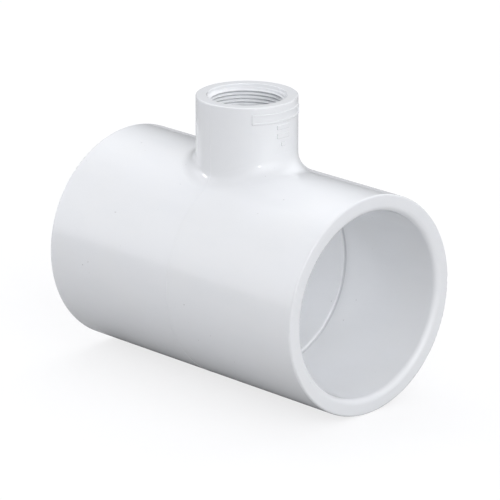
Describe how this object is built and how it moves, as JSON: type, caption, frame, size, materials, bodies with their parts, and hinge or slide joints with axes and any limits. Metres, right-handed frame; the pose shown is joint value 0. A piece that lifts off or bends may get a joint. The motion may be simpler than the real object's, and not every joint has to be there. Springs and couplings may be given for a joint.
{
  "type": "pipe tee",
  "caption": "Reducing pipe tee: a wide straight run with a plain pipe socket at each end, and a narrow upright branch with a female taper pipe thread.",
  "frame": {"origin": "where the axis of the run crosses the axis of the branch", "axes": "+X along the run, out of the front socket; +Z along the branch, out of its threaded mouth; +Y across the run"},
  "size_m": [0.208, 0.1352, 0.1763],
  "materials": {
    "white_pvc": "smooth moulded gloss"
  },
  "bodies": {
    "root": {"tee_body": "white_pvc"}
  },
  "joints": []
}
